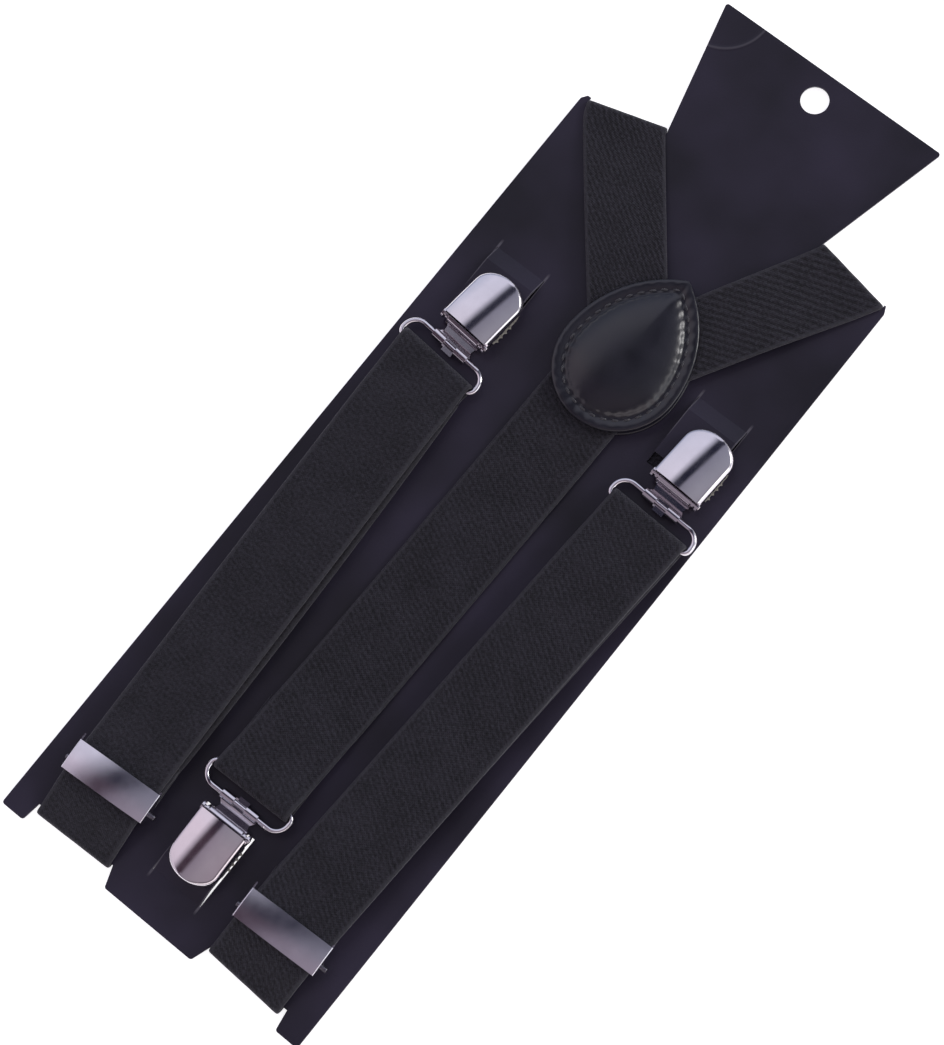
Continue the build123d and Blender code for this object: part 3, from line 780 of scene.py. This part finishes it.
# ----------------------------------------------------------------------------- carried-over nodes
def soften(obj, width, segments=2):
    """Rounds an object's sharp edges."""
    bevel = obj.modifiers.new("softened edges", "BEVEL")
    bevel.width = width
    bevel.segments = segments
    bevel.limit_method = "ANGLE"
    bevel.angle_limit = radians(35)


nodes = frame["nodes"]
wear(nodes["display_card"], CARD)
for name in ("left_clip", "right_clip", "back_clip"):
    for piece in ("base", "jaw", "lever", "pin"):
        wear(nodes[f"{name}_{piece}"], NICKEL)
    wear(nodes[f"{name}_bail"], WIRE)
    wear(nodes[f"{name}_pad"], PAD)
    soften(nodes[f"{name}_base"], 0.12 * MM)
for hand in ("left", "right"):
    wear(nodes[f"{hand}_slider_frame"], PLATE)
    soften(nodes[f"{hand}_slider_frame"], 0.42 * MM, 4)
    wear(nodes[f"{hand}_slider_axle"], AXLE)


# ------------------------------------------------------------------------- floor, light and camera
def floor():
    half, drop = 3.0, 0.0004  # metres
    corners = [(-half, -half, 0), (half, -half, 0), (half, half, 0), (-half, half, 0)]
    obj = new_object("floor", corners, [(0, 1, 2, 3)])
    obj.location.z = -drop
    s = Shader("pale_floor", Roughness=0.9, Base_Color=rgb(0.9, 0.9, 0.9), Specular_IOR_Level=0.0,
               Emission_Color=rgb(1, 1, 1), Emission_Strength=0.8)
    wear(obj, s.material)


def studio():
    """Soft boxes to both sides of a dark gap overhead, a brown room beyond the card's lower end,
    and two soft lamps to the right of its upper end."""
    sky = bpy.data.worlds.new("studio")
    bpy.context.scene.world = sky
    sky.use_nodes = True
    s = Nodes(sky.node_tree)

    def lookup(angle, stops):
        """Colours at stops in degrees either side of straight up."""
        share = s.add("ShaderNodeMapRange", {"Value": angle, 1: -pi / 2, 2: pi / 2}).outputs[0]
        node = s.add("ShaderNodeValToRGB", {0: share})
        elements = node.color_ramp.elements
        while len(elements) > 1:
            elements.remove(elements[-1])
        for k, (degrees, colour) in enumerate(stops):
            spot = (degrees + 90) / 180
            element = elements[0] if k == 0 else elements.new(spot)
            element.position = spot
            element.color = (*colour, 1.0)
        return node.outputs[0]

    toward = s.add("ShaderNodeTexCoord").outputs["Generated"]
    x, y, z = s.add("ShaderNodeSeparateXYZ", {0: toward}).outputs
    sideways = s.math("ARCTAN2", x, z)
    endways = s.math("ARCTAN2", y, z)
    skewed = s.math("MULTIPLY_ADD", endways, -0.35, sideways)
    boxes = lookup(skewed, [
        (-90, (0.35, 0.36, 0.44)), (-60, (0.60, 0.60, 0.70)), (-45, (0.82, 0.78, 0.86)),
        (-26, (0.82, 0.78, 0.86)), (-20, (0.34, 0.33, 0.38)), (-17, (0.02, 0.02, 0.035)),
        (-10, (0.02, 0.02, 0.035)), (-7, (0.27, 0.26, 0.31)), (10, (0.34, 0.33, 0.37)),
        (24, (0.34, 0.32, 0.36)), (34, (0.15, 0.15, 0.17)), (50, (0.20, 0.20, 0.22)),
        (58, (1.3, 1.27, 1.27)), (84, (1.6, 1.55, 1.55)), (90, (0.5, 0.5, 0.5)),
    ])
    tint = lookup(endways, [
        (-90, (0.84, 0.8, 0.83)), (-30, (0.9, 0.85, 0.88)), (-8, (1.0, 0.95, 0.98)),
        (2, (1.0, 1.0, 1.03)), (30, (0.94, 1.0, 1.08)),
    ])
    brown = lookup(endways, [
        (-60, (0.02, 0.01, 0.01)), (-8, (0.04, 0.016, 0.018)), (0, (0.0, 0.0, 0.0)),
    ])
    lamps = 0.0
    for way, sharpness, power in (
        ((0.55, 0.72, 0.43), 100.0, 15.0),
        ((0.80, 0.30, 0.50), 70.0, 2.5),
    ):
        facing = s.vector_math("DOT_PRODUCT", toward, tuple(Vector(way).normalized()))
        glow = s.math("POWER", s.math("MAXIMUM", facing, 0.0), sharpness)
        lamps = s.math("MULTIPLY_ADD", glow, power, lamps)
    white = s.mix(lamps, rgb(0, 0, 0), rgb(1, 0.98, 0.97), clamp_factor=False)
    light = s.mix(1.0, boxes, tint, blend_type="MULTIPLY")
    light = s.mix(1.0, light, brown, blend_type="ADD")
    light = s.mix(1.0, light, white, blend_type="ADD")
    back = s.tree.nodes["Background"]
    s.tree.links.new(light, back.inputs["Color"])
    back.inputs["Strength"].default_value = 1.0


def camera():
    """Nearly overhead, a little to the right and below, with the card turned in the frame."""
    distance = 0.809  # metres
    focal = 3000 / 1045  # focal length in image heights
    roll = radians(39.04)
    back = Vector((0.2164, -0.1041, 0.9708)).normalized()
    right = Vector((0, 1, 0)).cross(back).normalized()
    up = back.cross(right)
    across = right * cos(roll) + up * sin(roll)
    upright = up * cos(roll) - right * sin(roll)
    target = Vector((-0.1, 137.5 - CARD_LENGTH / 2, FACE)) * MM
    data = bpy.data.cameras.new("camera")
    obj = bpy.data.objects.new("camera", data)
    bpy.context.scene.collection.objects.link(obj)
    turned = Matrix((across, upright, back)).transposed().to_4x4()
    obj.matrix_world = Matrix.Translation(target + back * distance) @ turned
    data.sensor_fit = "VERTICAL"
    data.sensor_height = 24.0
    data.lens = focal * data.sensor_height
    data.clip_start = 0.01
    bpy.context.scene.camera = obj


floor()
studio()
camera()
bpy.context.scene.view_settings.view_transform = "Standard"
